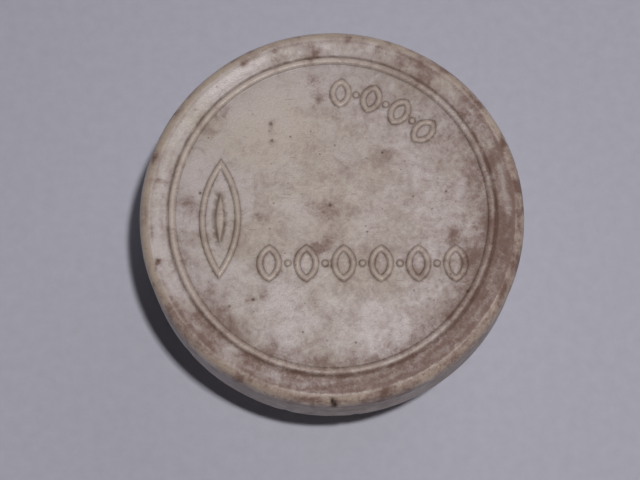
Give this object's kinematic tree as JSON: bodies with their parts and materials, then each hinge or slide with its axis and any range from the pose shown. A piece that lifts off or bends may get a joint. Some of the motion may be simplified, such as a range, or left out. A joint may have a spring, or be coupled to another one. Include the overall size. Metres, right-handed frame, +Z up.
{
  "type": "screw-lidded cosmetic cream jar",
  "caption": "Low round cream jar moulded in ivory plastic, with a screw lid that carries a ring bead and leaf relief, a card wad and a parchment disc.",
  "frame": {"origin": "centre of the foot's underside, on the jar's axis", "axes": "+Z up along the jar's axis; the lid's ornament reads upright towards +Y, with +X to its right"},
  "size_m": [0.06, 0.06, 0.031],
  "materials": {
    "ivory_urea_jar": "satin moulded urea-formaldehyde, a little stained",
    "ivory_urea_lid": "satin moulded urea-formaldehyde, worn and stained brown",
    "card": "pressed grey-brown pulpboard",
    "waxed_paper": "waxed, slightly glossy",
    "parchment": "greaseproof vegetable parchment, slightly translucent"
  },
  "bodies": {
    "jar": {"jar_body": "ivory_urea_jar"},
    "seal": {"cover_disc": "parchment"},
    "liner": {"card_wad": "card", "wad_facing": "waxed_paper"},
    "lid": {"lid": "ivory_urea_lid"}
  },
  "joints": [
    {"name": "lid_rise", "type": "slide", "parent": "jar", "child": "liner", "axis": [0, 0, 1], "range_m": [0, 0.016]},
    {"name": "lid_turn", "type": "hinge", "parent": "liner", "child": "lid", "pos_m": [0, 0, 0.0252], "axis": [0, 0, 1], "range_deg": [0, 1440]},
    {"name": "seal_lift", "type": "slide", "parent": "jar", "child": "seal", "axis": [0, 0, 1], "range_m": [0, 0.0072]}
  ],
  "couplings": [
    {"joint": "lid_rise", "follows": "lid_turn", "m_per_rad": 0.00063661},
    {"joint": "seal_lift", "follows": "lid_turn", "m_per_rad": 0.00028647}
  ]
}
